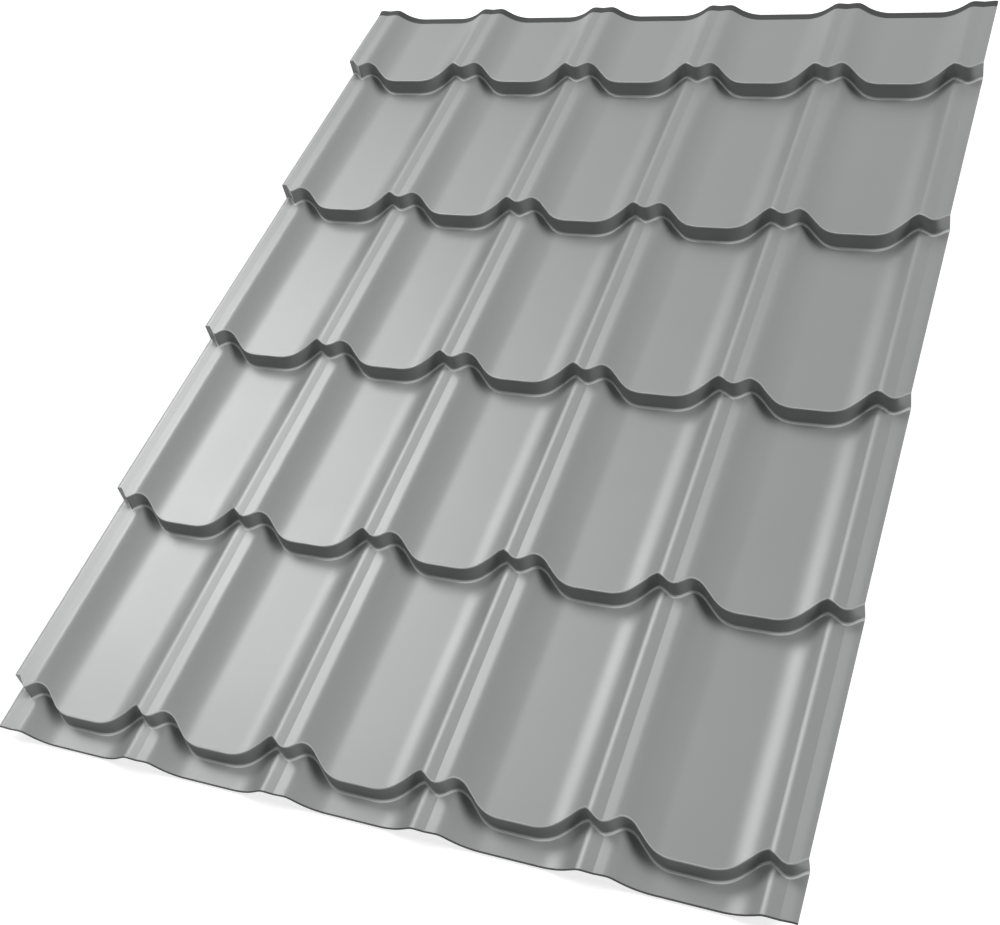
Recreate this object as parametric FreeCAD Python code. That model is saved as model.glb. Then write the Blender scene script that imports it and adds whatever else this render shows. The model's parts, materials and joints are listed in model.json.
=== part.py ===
import FreeCAD, Part
import math
import os

# Tile effect metal roofing sheet: one piece of roll formed and pressed steel
# sheet, lying flat with its visible side up.  Millimetres.  X runs across the
# sheet, Y runs up the slope, Z is the height.  The sheet is a row of equal
# waves across, pressed into steps along its length: every course rises gently
# towards its lower end and drops at a leaning riser onto the next course.
# Bends tighter than 3 mm are drawn as sharp corners, with a radius of 0.

# Sheet
SHEET_THICKNESS = 0.5
WAVE_PITCH = 230.0
WAVE_COUNT = 5
LEFT_LAP = 2.0
RIGHT_LAP = 41.5

# Steps along the sheet
STEP_LENGTH = 350.0
STEP_COUNT = 5
STEP_HEIGHT = 30.0
RISER_DRAFT_DEG = 8.0
TOP_STRIP = 174.0
BOTTOM_STRIP = 58.0

# Strip along the upper end, bent up from the slope until it is nearly level
LIP_WIDTH = 14.2
LIP_RISE_DEG = 2.0

# Section of one wave: corners of its outline and the radii that round them.
# X counts from the narrow crest, heights from the valley floor.
CREST_HEIGHT = 21.7
CREST_RADIUS = 18.0
GROOVE_X = 19.5
GROOVE_HEIGHT = 19.8
ROUND_CREST_X = 41.0
ROUND_CREST_HEIGHT = 22.0
ROUND_CREST_RADIUS = 18.0
RIGHT_FOOT_X = 71.5
RIGHT_FOOT_RADIUS = 72.0
LEFT_FOOT_X = 196.1
LEFT_FOOT_RADIUS = 73.0

# Plan line of one step at the height of the upper valley floor: corners and
# radii.  Y counts from the step line, and a valley's nose reaches down the slope.
TONGUE_X = 20.0
TONGUE_Y = -3.0
TONGUE_RADIUS = 17.0
RIGHT_SHOULDER_X = 49.8
RIGHT_SHOULDER_Y = 20.3
RIGHT_SHOULDER_RADIUS = 16.0
NOSE_Y = -17.6
NOSE_LEFT_X = 92.3
NOSE_LEFT_RADIUS = 54.0
NOSE_RIGHT_X = 176.6
NOSE_RIGHT_RADIUS = 56.0
LEFT_SHOULDER_X = 214.6
LEFT_SHOULDER_Y = 15.6
LEFT_SHOULDER_RADIUS = 20.0
LEFT_NOTCH_X = 223.9
LEFT_NOTCH_Y = 15.4

# The first crest lies under the next sheet, so its step is set further back
# and its corners are sharp
EDGE_NOTCH_X = 7.5
EDGE_NOTCH_Y = 18.3
EDGE_TONGUE_X = 25.4
EDGE_TONGUE_Y = 1.2

COURSE_TILT = math.atan(STEP_HEIGHT / STEP_LENGTH)
RISER_LEAN = math.radians(RISER_DRAFT_DEG)
LIP_TILT = math.radians(LIP_RISE_DEG)
TOP_Y = -STEP_LENGTH + TOP_STRIP
BOTTOM_Y = -STEP_COUNT * STEP_LENGTH - BOTTOM_STRIP
RIGHT_EDGE_X = WAVE_COUNT * WAVE_PITCH + RIGHT_LAP

# Working blocks reach past the sheet by these amounts
BLOCK_REACH = 2 * STEP_HEIGHT
INNER_EXCESS = 16 * SHEET_THICKNESS


def wave_corners():
    return [
        (0.0, CREST_HEIGHT, CREST_RADIUS),
        (GROOVE_X, GROOVE_HEIGHT, 0.0),
        (ROUND_CREST_X, ROUND_CREST_HEIGHT, ROUND_CREST_RADIUS),
        (RIGHT_FOOT_X, 0.0, RIGHT_FOOT_RADIUS),
        (LEFT_FOOT_X, 0.0, LEFT_FOOT_RADIUS),
    ]


def step_corners():
    return [
        (TONGUE_X, TONGUE_Y, TONGUE_RADIUS),
        (RIGHT_SHOULDER_X, RIGHT_SHOULDER_Y, RIGHT_SHOULDER_RADIUS),
        (NOSE_LEFT_X, NOSE_Y, NOSE_LEFT_RADIUS),
        (NOSE_RIGHT_X, NOSE_Y, NOSE_RIGHT_RADIUS),
        (LEFT_SHOULDER_X, LEFT_SHOULDER_Y, LEFT_SHOULDER_RADIUS),
        (LEFT_NOTCH_X, LEFT_NOTCH_Y, 0.0),
    ]


def repeated(corners, first_wave):
    """The corners of one wave, repeated from the first wave to just past the sheet."""
    row = []
    for wave in range(first_wave, WAVE_COUNT + 1):
        for x, y, radius in corners:
            row.append((x + wave * WAVE_PITCH, y, radius))
    return row


def step_row():
    """Corners of a whole step line, from beyond the left edge to beyond the right."""
    edge = [
        (-2 * WAVE_PITCH, EDGE_NOTCH_Y, 0.0),
        (-WAVE_PITCH, EDGE_NOTCH_Y, 0.0),
        (EDGE_NOTCH_X, EDGE_NOTCH_Y, 0.0),
        (EDGE_TONGUE_X, EDGE_TONGUE_Y, 0.0),
    ]
    return edge + repeated(step_corners(), 0)[1:]


def rounded_line(row, shift):
    """Straight and round pieces of a corner line, moved sideways by shift.

    A positive shift moves the line to its left, seen along growing X.  A piece
    is (start, middle, end), and the middle of a straight piece is None.
    """
    pieces = []
    last = None
    for i in range(1, len(row) - 1):
        x0, y0, _ = row[i - 1]
        x1, y1, radius = row[i]
        x2, y2, _ = row[i + 1]
        a = math.atan2(y1 - y0, x1 - x0)
        b = math.atan2(y2 - y1, x2 - x1)
        if radius == 0:
            miter = shift / math.cos((b - a) / 2)
            mean = (a + b) / 2
            points = [(x1 - miter * math.sin(mean), y1 + miter * math.cos(mean))]
        else:
            side = 1.0 if b > a else -1.0
            reach = radius * math.tan(abs(b - a) / 2)
            cx = x1 - reach * math.cos(a) - side * radius * math.sin(a)
            cy = y1 - reach * math.sin(a) + side * radius * math.cos(a)
            moved = side * radius - shift
            points = []
            for angle in (a, (a + b) / 2, b):
                points.append((cx + moved * math.sin(angle), cy - moved * math.cos(angle)))
        if last is not None:
            pieces.append((last, None, points[0]))
        if len(points) == 3:
            pieces.append(tuple(points))
        last = points[-1]
    return pieces


def face_beside(pieces, far, place):
    """Face between a corner line and the straight line at far; place maps 2-D to 3-D."""
    edges = []
    for start, middle, end in pieces:
        if middle is None:
            edges.append(Part.LineSegment(place(start), place(end)).toShape())
        else:
            edges.append(Part.Arc(place(start), place(middle), place(end)).toShape())
    first = pieces[0][0]
    final = pieces[-1][2]
    far_end = (final[0], far)
    far_start = (first[0], far)
    edges.append(Part.LineSegment(place(final), place(far_end)).toShape())
    edges.append(Part.LineSegment(place(far_end), place(far_start)).toShape())
    edges.append(Part.LineSegment(place(far_start), place(first)).toShape())
    return Part.Face(Part.Wire(edges))


def wave_block(inset, excess, origin, run):
    """Solid under the wave section, swept along the run.

    The section stands square to the slope of the courses.
    """
    up = FreeCAD.Vector(0, math.sin(COURSE_TILT), math.cos(COURSE_TILT))

    def place(point):
        return origin + FreeCAD.Vector(point[0], 0, 0) + up * point[1]

    pieces = rounded_line(repeated(wave_corners(), -1), -inset)
    face = face_beside(pieces, -BLOCK_REACH - excess, place)
    return face.extrude(run)


def riser_block(inset, y_step):
    """Solid up the slope of one riser, leaning with the riser's draft.

    Its section stands square to the drop, so that its round parts are cylinders.
    """
    drop = FreeCAD.Vector(0, -math.sin(RISER_LEAN), -math.cos(RISER_LEAN))
    across = FreeCAD.Vector(0, math.cos(RISER_LEAN), -math.sin(RISER_LEAN))
    top = FreeCAD.Vector(0, y_step, STEP_HEIGHT) - drop * (2 * BLOCK_REACH)

    def place(point):
        return top + FreeCAD.Vector(point[0], 0, 0) + across * point[1]

    row = []
    for x, y, radius in step_row():
        row.append((x, y * math.cos(RISER_LEAN), radius))
    face = face_beside(rounded_line(row, inset), 2 * STEP_LENGTH, place)
    return face.extrude(drop * (4 * BLOCK_REACH))


def floor_point(course, y):
    """Point of the valley floor of a course at y; a course starts at height 0."""
    return FreeCAD.Vector(0, y, -(y + course * STEP_LENGTH) * math.tan(COURSE_TILT))


def course_block(inset, excess, course):
    """Solid under one course, from inside the course above it to its own riser."""
    y_start = -course * STEP_LENGTH + BLOCK_REACH + excess
    if course == 0:
        y_start = TOP_Y
    y_end = -(course + 1) * STEP_LENGTH + NOSE_Y - BLOCK_REACH
    if course == STEP_COUNT:
        y_end = BOTTOM_Y - excess
    start = floor_point(course, y_start)
    block = wave_block(inset, excess, start, floor_point(course, y_end) - start)
    if course < STEP_COUNT:
        block = block.common(riser_block(inset, -(course + 1) * STEP_LENGTH))
    return block


def lip_block(inset, excess):
    """Solid under the bent strip at the upper end of the sheet."""
    up_slope = FreeCAD.Vector(0, math.cos(LIP_TILT), math.sin(LIP_TILT))
    return wave_block(inset, excess, floor_point(0, TOP_Y), up_slope * (LIP_WIDTH + excess))


def stepped_die(inset, excess):
    """Solid under the whole stepped and waved surface, inset by a wall thickness."""
    blocks = []
    for course in range(STEP_COUNT + 1):
        blocks.append(course_block(inset, excess, course))
    blocks.append(lip_block(inset, excess))
    return blocks[0].multiFuse(blocks[1:])


def trimmed(shape):
    """The shape between the two side edges of the sheet."""
    length = TOP_Y - BOTTOM_Y + 4 * BLOCK_REACH
    corner = FreeCAD.Vector(-LEFT_LAP, BOTTOM_Y - 2 * BLOCK_REACH, -2 * BLOCK_REACH)
    box = Part.makeBox(RIGHT_EDGE_X + LEFT_LAP, length, 4 * BLOCK_REACH, corner)
    return shape.common(box)


def roofing_sheet():
    outside = stepped_die(0.0, 0.0)
    inside = stepped_die(SHEET_THICKNESS, INNER_EXCESS)
    sheet = trimmed(outside.cut(inside)).Solids[0]
    box = sheet.optimalBoundingBox(False, False)
    middle = FreeCAD.Vector((box.XMin + box.XMax) / 2, (box.YMin + box.YMax) / 2, box.ZMin)
    return sheet.translated(-middle)


os.makedirs("parts", exist_ok=True)
roofing_sheet().exportStep("parts/sheet.step")
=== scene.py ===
import json
import math

import bpy
import numpy as np
from mathutils import Euler, Matrix, Vector


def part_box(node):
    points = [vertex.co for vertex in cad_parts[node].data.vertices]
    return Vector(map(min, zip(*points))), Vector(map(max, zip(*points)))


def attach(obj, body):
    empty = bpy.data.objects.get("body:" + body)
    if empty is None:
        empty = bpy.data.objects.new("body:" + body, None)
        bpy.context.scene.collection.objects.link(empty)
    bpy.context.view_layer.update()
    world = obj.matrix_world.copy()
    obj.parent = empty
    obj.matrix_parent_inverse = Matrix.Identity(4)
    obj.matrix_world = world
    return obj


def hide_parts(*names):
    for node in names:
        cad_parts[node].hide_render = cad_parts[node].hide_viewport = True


# The sheet is drawn here once more, in millimetres and from the same sizes as
# the solid, with the tight bends that the solid leaves sharp.  X runs across
# the sheet, Y up the slope, Z is the height.
MM = 0.001

# Sheet
SHEET_THICKNESS = 0.5
WAVE_PITCH = 230.0
WAVE_COUNT = 5
LEFT_LAP = 2.0
RIGHT_LAP = 41.5
RIGHT_EDGE_X = WAVE_COUNT * WAVE_PITCH + RIGHT_LAP

# Steps along the sheet, and the strip bent up along its upper end
STEP_LENGTH = 350.0
STEP_COUNT = 5
STEP_HEIGHT = 30.0
TOP_STRIP = 174.0
BOTTOM_STRIP = 58.0
LIP_WIDTH = 14.2
COURSE_TILT = math.atan(STEP_HEIGHT / STEP_LENGTH)
RISER_LEAN = math.radians(8.0)
LIP_TILT = math.radians(2.0)
TOP_Y = TOP_STRIP - STEP_LENGTH
BOTTOM_Y = -STEP_COUNT * STEP_LENGTH - BOTTOM_STRIP

# Radii of the tight bends, which the solid leaves sharp
GROOVE_BEND = 3.0
NOTCH_BEND = 2.0
EDGE_BEND = 3.0
RIM_BEND = 1.6
FOOT_BEND = 2.8

# Corners of one wave's section: place across, height, radius
GROOVE_X = 19.5
WAVE_CORNERS = [
    (0.0, 21.7, 18.0),
    (GROOVE_X, 19.8, GROOVE_BEND),
    (41.0, 22.0, 18.0),
    (71.5, 0.0, 72.0),
    (196.1, 0.0, 73.0),
]

# Corners of one step's plan line: place across, place up the slope, radius
TONGUE_CORNER = (20.0, -3.0, 17.0)
NOTCH_X = 223.9
STEP_CORNERS = [
    TONGUE_CORNER,
    (49.8, 20.3, 16.0),
    (92.3, -17.6, 54.0),
    (176.6, -17.6, 56.0),
    (214.6, 15.6, 20.0),
    (NOTCH_X, 15.4, NOTCH_BEND),
]

# The first crest lies under the next sheet and has its own, set back corners in
# place of the first tongue
EDGE_NOTCH_X = 7.5
EDGE_NOTCH_Y = 18.3
EDGE_TONGUE_X = 25.4
EDGE_CORNERS = [
    (-2 * WAVE_PITCH, EDGE_NOTCH_Y, 0.0),
    (-WAVE_PITCH, EDGE_NOTCH_Y, 0.0),
    (EDGE_NOTCH_X, EDGE_NOTCH_Y, NOTCH_BEND),
    (EDGE_TONGUE_X, 1.2, EDGE_BEND),
]

# How finely the surface is divided: columns across the sheet, rows along it
COLUMN_SPACING = 4.2
FINE_OFFSETS = (-3.0, -1.8, -1.2, -0.6, 0.0, 0.6, 1.2, 1.8, 3.0)
CREST_OFFSETS = (-7.0, -4.8, -3.2, -1.6, 0.0, 1.6, 3.2, 4.8, 7.0)
CLOSEST_COLUMNS = 0.25
BEND_STEPS = 5
BEND_MARGIN = 0.8
COURSE_PARTS = (0.25, 0.5, 0.75)
SHARP_ANGLE = math.radians(50)

# Coat: semi-matt, with faint clouds in its colour and gloss and a fine grain.
# The noise scales are per metre, the depth of the grain is in millimetres.
PAINT_ROUGHNESS = 0.36
PAINT_SPECULAR = 0.8
CLOUD_SCALE = 9.0
CLOUD_DETAIL = 3
CLOUD_TINT = 0.03
CLOUD_GLOSS = 0.04
GRAIN_SCALE = 700.0
GRAIN_DETAIL = 2
GRAIN_STRENGTH = 0.15
GRAIN_DEPTH = 0.1

# Painted highlights along the pressed bends, pale lines that stand in for the light the bends
# catch: their colour, and how strong they are
BEND_HIGHLIGHT_COLOUR = (0.8, 0.812, 0.808)
RIM_HIGHLIGHT = 0.6
FOOT_HIGHLIGHT = 1.0

# Dark colour of the upper strip and of a line along the lower edge
EDGE_COLOUR = (0.1, 0.103, 0.102)
EDGE_ROUGHNESS = 0.6
EDGE_SPECULAR = 0.1
EDGE_LINE_WIDTH = 2.4

# Sockets of a Mix node that mixes colours: factor and both ends, result
COLOUR_MIX_INPUTS = (0, 6, 7)
COLOUR_MIX_OUTPUT = 2

# Floor and world, white where they are seen
WHITE = (1, 1, 1, 1)
FLOOR_SIZE = 60
FLOOR_COLOUR = (0.8, 0.8, 0.8)
FLOOR_ROUGHNESS = 1.0
FLOOR_SPECULAR = 0.0
FLOOR_GLOW = 0.72
WORLD_FILL = 0.01
WORLD_SEEN = 1.0

# Camera, in metres and degrees
CAMERA_PLACE = (0.8489, -1.3572, 1.7182)
CAMERA_TURN = (37.1696, 16.0728, 20.2711)
LENS = 51.781
SENSOR = 36.0
SHIFT = (0.06489, 0.01118)

# Key lamp, from the right: where it comes from, its strength and spread in degrees
KEY_FROM = (0.72, 0.24, 0.66)
KEY_STRENGTH = 1.7
KEY_SPREAD = 26

# Large window far off behind the left side, which the coat mirrors as a sheen, and
# the wider glow around it: size, power, and whether its light casts shadows
WINDOW_FROM = (-1.0, 0.78, 1.0)
LAMP_DISTANCE = 12.0
WINDOW = ((5.2, 5.6), 575, True)
WINDOW_GLOW = ((11.0, 4.4), 215, False)


def repeated(corners, first_wave):
    """The corners of one wave, repeated from the first wave to just past the sheet."""
    row = []
    for wave in range(first_wave, WAVE_COUNT + 1):
        for x, y, radius in corners:
            row.append((x + wave * WAVE_PITCH, y, radius))
    return row


def rounded(x, row):
    """How high, at every x, a corner line with rounded corners runs."""
    y = np.interp(x, [corner[0] for corner in row], [corner[1] for corner in row])
    for (x0, y0, _), (x1, y1, radius), (x2, y2, _) in zip(row, row[1:], row[2:]):
        a = math.atan2(y1 - y0, x1 - x0)
        b = math.atan2(y2 - y1, x2 - x1)
        side = 1.0 if b > a else -1.0
        reach = radius * math.tan(abs(b - a) / 2)
        cx = x1 - reach * math.cos(a) - side * radius * math.sin(a)
        cy = y1 - reach * math.sin(a) + side * radius * math.cos(a)
        on_arc = (x > x1 - reach * math.cos(a)) & (x < x1 + reach * math.cos(b))
        depth = np.sqrt(np.maximum(radius**2 - (x - cx) ** 2, 0.0))
        y = np.where(on_arc, cy - side * depth, y)
    return y


def column_places():
    """Places across the sheet, closer together at the tight bends and the crests."""
    bends = [EDGE_NOTCH_X, EDGE_TONGUE_X]
    crests = []
    for wave in range(-1, WAVE_COUNT + 1):
        crest = wave * WAVE_PITCH
        crests.append(crest)
        bends += [crest + GROOVE_X, crest + NOTCH_X]
    fine = [bend + offset for bend in bends for offset in FINE_OFFSETS]
    fine += [crest + offset for crest in crests for offset in CREST_OFFSETS]
    fine = [x for x in fine if -LEFT_LAP < x < RIGHT_EDGE_X]
    count = round((RIGHT_EDGE_X + LEFT_LAP) / COLUMN_SPACING)
    even = [x for x in np.linspace(-LEFT_LAP, RIGHT_EDGE_X, count + 1)[1:-1]
            if min(abs(x - other) for other in fine) > COLUMN_SPACING / 2]
    places = [-LEFT_LAP]
    for x in sorted(fine + even) + [RIGHT_EDGE_X]:
        if x - places[-1] > CLOSEST_COLUMNS:
            places.append(x)
    return np.array(places)


def bend_rows(corner, before, after, radius):
    """Rows of points around a bend between two directions in the Y-Z plane."""
    before = np.array(before)
    after = np.array(after)
    along = float(before @ after)
    turn = math.acos(along)
    inward = after - along * before
    inward = inward / np.linalg.norm(inward)
    reach = radius * math.tan(turn / 2)
    centre = corner - reach * before[:, None] + radius * inward[:, None]
    rows = [corner - (reach + BEND_MARGIN) * before[:, None]]
    for step in range(BEND_STEPS + 1):
        angle = turn * step / BEND_STEPS
        arm = radius * (before * math.sin(angle) - inward * math.cos(angle))
        rows.append(centre + arm[:, None])
    rows.append(corner + (reach + BEND_MARGIN) * after[:, None])
    return rows


def sheet_rows(x):
    """The surface as rows of (y, z) for all x, from the upper end down the slope.

    Also how strong the painted highlight along the bends is on each row, and the
    last row of the dark upper strip, which ends halfway round its fold.
    """
    wave = rounded(x, repeated(WAVE_CORNERS, -1))
    step_row = EDGE_CORNERS + repeated(STEP_CORNERS, 0)[1:]
    squared = [(a, b * math.cos(RISER_LEAN), radius) for a, b, radius in step_row]
    plan = rounded(x, squared) / math.cos(RISER_LEAN)
    tilt = math.tan(COURSE_TILT)
    lean = math.tan(RISER_LEAN)
    height = wave / math.cos(COURSE_TILT)
    across_course = np.array([math.sin(COURSE_TILT), math.cos(COURSE_TILT)])[:, None]
    down_course = (-math.cos(COURSE_TILT), math.sin(COURSE_TILT))
    down_riser = (-math.sin(RISER_LEAN), -math.cos(RISER_LEAN))
    down_lip = (-math.cos(LIP_TILT), -math.sin(LIP_TILT))

    def corner_on(course, step):
        """Where the riser of a step meets the surface of a course."""
        foot = -step * STEP_LENGTH + plan - lean * STEP_HEIGHT
        y = (foot + lean * (height - tilt * course * STEP_LENGTH)) / (1 + lean * tilt)
        return np.array([y, height - tilt * (y + course * STEP_LENGTH)])

    crease = np.array([[TOP_Y], [-tilt * TOP_Y]]) + across_course * wave
    rows = [crease - LIP_WIDTH * np.array(down_lip)[:, None]]
    rows += bend_rows(crease, down_lip, down_course, FOOT_BEND)
    bend_highlight = [0.0] * len(rows)
    strip_end = len(rows) // 2
    for step in range(1, STEP_COUNT + 1):
        around_rim = bend_rows(corner_on(step - 1, step), down_course, down_riser, RIM_BEND)
        start = rows[-1]
        rows += [start + part * (around_rim[0] - start) for part in COURSE_PARTS]
        rows += around_rim
        rows += bend_rows(corner_on(step, step), down_riser, down_course, FOOT_BEND)
        bend_highlight += [0.0] * len(COURSE_PARTS)
        # The rows round each rim bend and foot bend get the painted highlight
        for line in (RIM_HIGHLIGHT, FOOT_HIGHLIGHT):
            bend_highlight += [0.0] + [line] * (BEND_STEPS + 1) + [0.0]
    end_z = -tilt * (BOTTOM_Y + STEP_COUNT * STEP_LENGTH)
    end = np.array([[BOTTOM_Y], [end_z]]) + across_course * wave
    rows += [end - EDGE_LINE_WIDTH * np.array(down_course)[:, None], end]
    bend_highlight += [0.0, 0.0]
    return rows, bend_highlight, strip_end


def surface_normals(points):
    """Unit normals of a grid of points, towards the weather side."""
    down = np.gradient(points, axis=0)
    across = np.gradient(points, axis=1)
    normals = np.cross(down, across)
    return normals / np.linalg.norm(normals, axis=2, keepdims=True)


def sheet_faces(row_count, column_count):
    """Faces of the weather side, of the underside and of the cut edges.

    The cut edges run down the left side, along the lower end, up the right side
    and back along the upper end.
    """
    index = np.arange(2 * row_count * column_count).reshape(2, row_count, column_count)
    upper, lower = index
    faces = []
    for grid in (upper, lower[:, ::-1]):
        quads = np.stack([grid[:-1, :-1], grid[1:, :-1], grid[1:, 1:], grid[:-1, 1:]], axis=2)
        faces += quads.reshape(-1, 4).tolist()
    rim = np.concatenate([upper[:-1, 0], upper[-1, :-1], upper[:0:-1, -1], upper[0, :0:-1]])
    rim_under = rim + row_count * column_count
    cut = np.column_stack([rim, rim_under, np.roll(rim_under, -1), np.roll(rim, -1)])
    return faces + cut.tolist()


def dark_faces(row_count, column_count, strip_end):
    """1 for every face of the dark strip and lower edge, 0 for every other."""
    both_sides = np.zeros((2, row_count - 1, column_count - 1), dtype=np.int32)
    both_sides[:, :strip_end] = 1
    both_sides[:, -1] = 1
    side_cut = np.zeros(row_count - 1, dtype=np.int32)
    end_cut = np.ones(column_count - 1, dtype=np.int32)
    return np.concatenate([both_sides.ravel(), side_cut, end_cut, side_cut, end_cut])


def sheet_mesh(low, high):
    """The whole sheet as one closed mesh, centred where the solid is."""
    x = column_places()
    rows, bend_highlight, strip_end = sheet_rows(x)
    top = np.stack([np.column_stack([x, y, z]) for y, z in rows])
    under = top - SHEET_THICKNESS * surface_normals(top)
    points = np.concatenate([top.reshape(-1, 3), under.reshape(-1, 3)]) * MM
    middle = (points.min(axis=0) + points.max(axis=0)) / 2
    points += (np.array(low) + np.array(high)) / 2 - middle

    row_count, column_count = top.shape[:2]
    mesh = bpy.data.meshes.new("formed_sheet")
    mesh.from_pydata(points.tolist(), [], sheet_faces(row_count, column_count))
    mesh.shade_smooth()
    mesh.set_sharp_from_angle(angle=SHARP_ANGLE)
    # How strong the painted highlight along the bends is, at each point
    line = mesh.attributes.new("bend_highlight", "FLOAT", "POINT")
    line.data.foreach_set("value", np.tile(np.repeat(bend_highlight, column_count), 2))
    dark = dark_faces(row_count, column_count, strip_end)
    mesh.polygons.foreach_set("material_index", dark)
    return mesh


def new_material(name, colour, roughness, specular):
    """A plain material, and its node tree and shader for what varies over it."""
    material = bpy.data.materials.new(name)
    material.use_nodes = True
    shader = material.node_tree.nodes["Principled BSDF"]
    shader.inputs["Base Color"].default_value = (*colour, 1)
    shader.inputs["Roughness"].default_value = roughness
    shader.inputs["Specular IOR Level"].default_value = specular
    return material, material.node_tree, shader


def noise(tree, place, scale, detail):
    texture = tree.nodes.new("ShaderNodeTexNoise")
    texture.inputs["Scale"].default_value = scale
    texture.inputs["Detail"].default_value = detail
    tree.links.new(place, texture.inputs["Vector"])
    return texture.outputs["Fac"]


def colour_mix(tree, factor, below, above):
    """Mix of two colours; each end is a colour or a socket that gives one."""
    mixed = tree.nodes.new("ShaderNodeMix")
    mixed.data_type = "RGBA"
    sockets = [mixed.inputs[i] for i in COLOUR_MIX_INPUTS]
    for socket, value in zip(sockets, (factor, below, above)):
        if isinstance(value, bpy.types.NodeSocket):
            tree.links.new(value, socket)
        else:
            socket.default_value = (*value, 1)
    return mixed.outputs[COLOUR_MIX_OUTPUT]


def paint(colour):
    """Semi-matt grey coating: faint clouds, fine grain, and painted highlights along the
    bends.
    """
    material, tree, shader = new_material(
        "painted_steel", colour, PAINT_ROUGHNESS, PAINT_SPECULAR)
    place = tree.nodes.new("ShaderNodeTexCoord").outputs["Object"]

    cloud = noise(tree, place, CLOUD_SCALE, CLOUD_DETAIL)
    darker = [part * (1 - CLOUD_TINT) for part in colour]
    paler = [part * (1 + CLOUD_TINT) for part in colour]
    # Painted highlight: the bends are paled towards a near-white colour, which stands in for
    # the light they catch
    line = tree.nodes.new("ShaderNodeAttribute")
    line.attribute_name = "bend_highlight"
    clouded = colour_mix(tree, cloud, darker, paler)
    highlighted = colour_mix(tree, line.outputs["Fac"], clouded, BEND_HIGHLIGHT_COLOUR)
    tree.links.new(highlighted, shader.inputs["Base Color"])

    gloss = tree.nodes.new("ShaderNodeMapRange")
    gloss.inputs["To Min"].default_value = PAINT_ROUGHNESS - CLOUD_GLOSS
    gloss.inputs["To Max"].default_value = PAINT_ROUGHNESS + CLOUD_GLOSS
    tree.links.new(cloud, gloss.inputs["Value"])
    tree.links.new(gloss.outputs["Result"], shader.inputs["Roughness"])

    grain = tree.nodes.new("ShaderNodeBump")
    grain.inputs["Strength"].default_value = GRAIN_STRENGTH
    grain.inputs["Distance"].default_value = GRAIN_DEPTH * MM
    height = noise(tree, place, GRAIN_SCALE, GRAIN_DETAIL)
    tree.links.new(height, grain.inputs["Height"])
    tree.links.new(grain.outputs["Normal"], shader.inputs["Normal"])
    return material


def dark_edge_material():
    """Dark matt colour of the upper strip and the lower edge."""
    return new_material("dark_edge", EDGE_COLOUR, EDGE_ROUGHNESS, EDGE_SPECULAR)[0]


def seen_rays(tree):
    """1 for rays that see the studio: straight, in a gloss or through glass."""
    path = tree.nodes.new("ShaderNodeLightPath")
    seen = path.outputs["Is Camera Ray"]
    for name in ("Is Glossy Ray", "Is Transmission Ray"):
        either = tree.nodes.new("ShaderNodeMath")
        either.operation = "MAXIMUM"
        tree.links.new(seen, either.inputs[0])
        tree.links.new(path.outputs[name], either.inputs[1])
        seen = either.outputs[0]
    return seen


def floor_material():
    """Pale floor that keeps shadows and goes white where it is seen."""
    material, tree, shader = new_material(
        "floor", FLOOR_COLOUR, FLOOR_ROUGHNESS, FLOOR_SPECULAR)
    shader.inputs["Emission Color"].default_value = WHITE
    glow = tree.nodes.new("ShaderNodeMath")
    glow.operation = "MULTIPLY"
    glow.inputs[1].default_value = FLOOR_GLOW
    tree.links.new(seen_rays(tree), glow.inputs[0])
    tree.links.new(glow.outputs[0], shader.inputs["Emission Strength"])
    return material


def add_floor():
    bpy.ops.mesh.primitive_plane_add(size=FLOOR_SIZE)
    floor = bpy.context.object
    floor.name = "floor"
    floor.data.materials.append(floor_material())


def add_world():
    """White where it is seen or reflected, dim where it only fills."""
    world = bpy.data.worlds.new("studio")
    bpy.context.scene.world = world
    world.use_nodes = True
    tree = world.node_tree
    background = tree.nodes["Background"]
    strength = tree.nodes.new("ShaderNodeMix")
    strength.inputs["A"].default_value = WORLD_FILL
    strength.inputs["B"].default_value = WORLD_SEEN
    tree.links.new(seen_rays(tree), strength.inputs["Factor"])
    tree.links.new(strength.outputs["Result"], background.inputs["Strength"])
    background.inputs["Color"].default_value = WHITE


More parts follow.
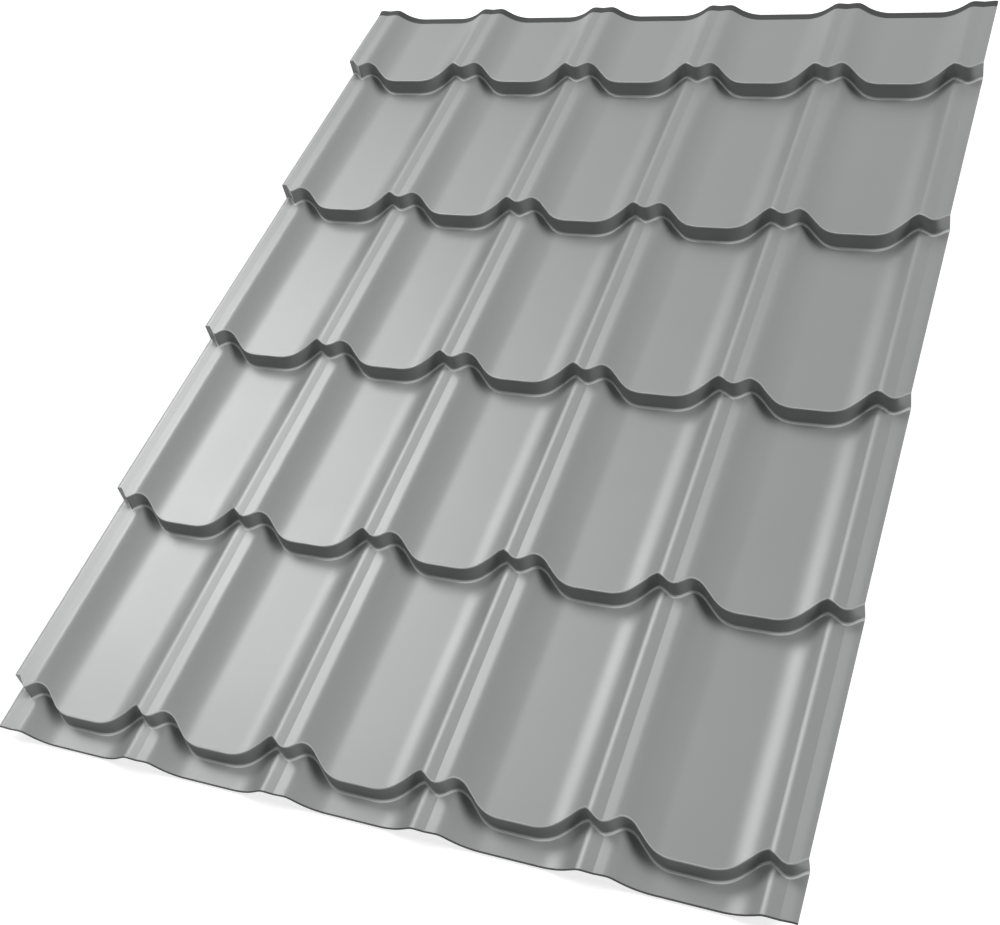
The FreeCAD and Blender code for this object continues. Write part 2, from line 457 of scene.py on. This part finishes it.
def add_lamp(name, kind, comes_from, power):
    """Lamp that shines from a direction onto the middle of the sheet."""
    lamp = bpy.data.lights.new(name, kind)
    lamp.energy = power
    holder = bpy.data.objects.new(name, lamp)
    bpy.context.collection.objects.link(holder)
    back = Vector(comes_from).normalized()
    across = Vector((1, 0, 0)) - back * back.x
    across.normalize()
    holder.matrix_world = Matrix([across, back.cross(across), back]).transposed().to_4x4()
    holder.location = back * LAMP_DISTANCE
    return holder


def add_lamps():
    """The key lamp, which the coat doesn't mirror, and the window with its glow."""
    key = add_lamp("key", "SUN", KEY_FROM, KEY_STRENGTH)
    key.visible_glossy = False
    key.data.angle = math.radians(KEY_SPREAD)
    for size, power, casts_shadow in (WINDOW, WINDOW_GLOW):
        window = add_lamp("window", "AREA", WINDOW_FROM, power).data
        window.shape = "RECTANGLE"
        window.size, window.size_y = size
        window.use_shadow = casts_shadow
        window.cycles.use_multiple_importance_sampling = casts_shadow


def add_camera():
    camera = bpy.data.cameras.new("camera")
    camera.sensor_width = SENSOR
    camera.lens = LENS
    camera.shift_x, camera.shift_y = SHIFT
    holder = bpy.data.objects.new("camera", camera)
    bpy.context.collection.objects.link(holder)
    holder.location = CAMERA_PLACE
    holder.rotation_euler = Euler([math.radians(angle) for angle in CAMERA_TURN])
    bpy.context.scene.camera = holder


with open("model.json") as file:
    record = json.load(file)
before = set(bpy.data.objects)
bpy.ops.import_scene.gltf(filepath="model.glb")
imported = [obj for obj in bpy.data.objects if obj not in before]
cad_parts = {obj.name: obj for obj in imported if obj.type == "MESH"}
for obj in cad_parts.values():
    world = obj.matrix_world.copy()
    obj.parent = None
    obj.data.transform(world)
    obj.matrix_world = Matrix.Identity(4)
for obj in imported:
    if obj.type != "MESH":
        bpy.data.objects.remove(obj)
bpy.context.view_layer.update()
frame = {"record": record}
low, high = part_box("sheet")
sheet = bpy.data.objects.new("roofing_sheet", sheet_mesh(low, high))
bpy.context.collection.objects.link(sheet)
slot = frame["record"]["materials"][0]
sheet.data.materials.append(paint(slot["base_color"][:3]))
sheet.data.materials.append(dark_edge_material())
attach(sheet, "root")
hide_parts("sheet")
add_floor()
add_world()
add_lamps()
add_camera()
bpy.context.scene.view_settings.view_transform = "Standard"
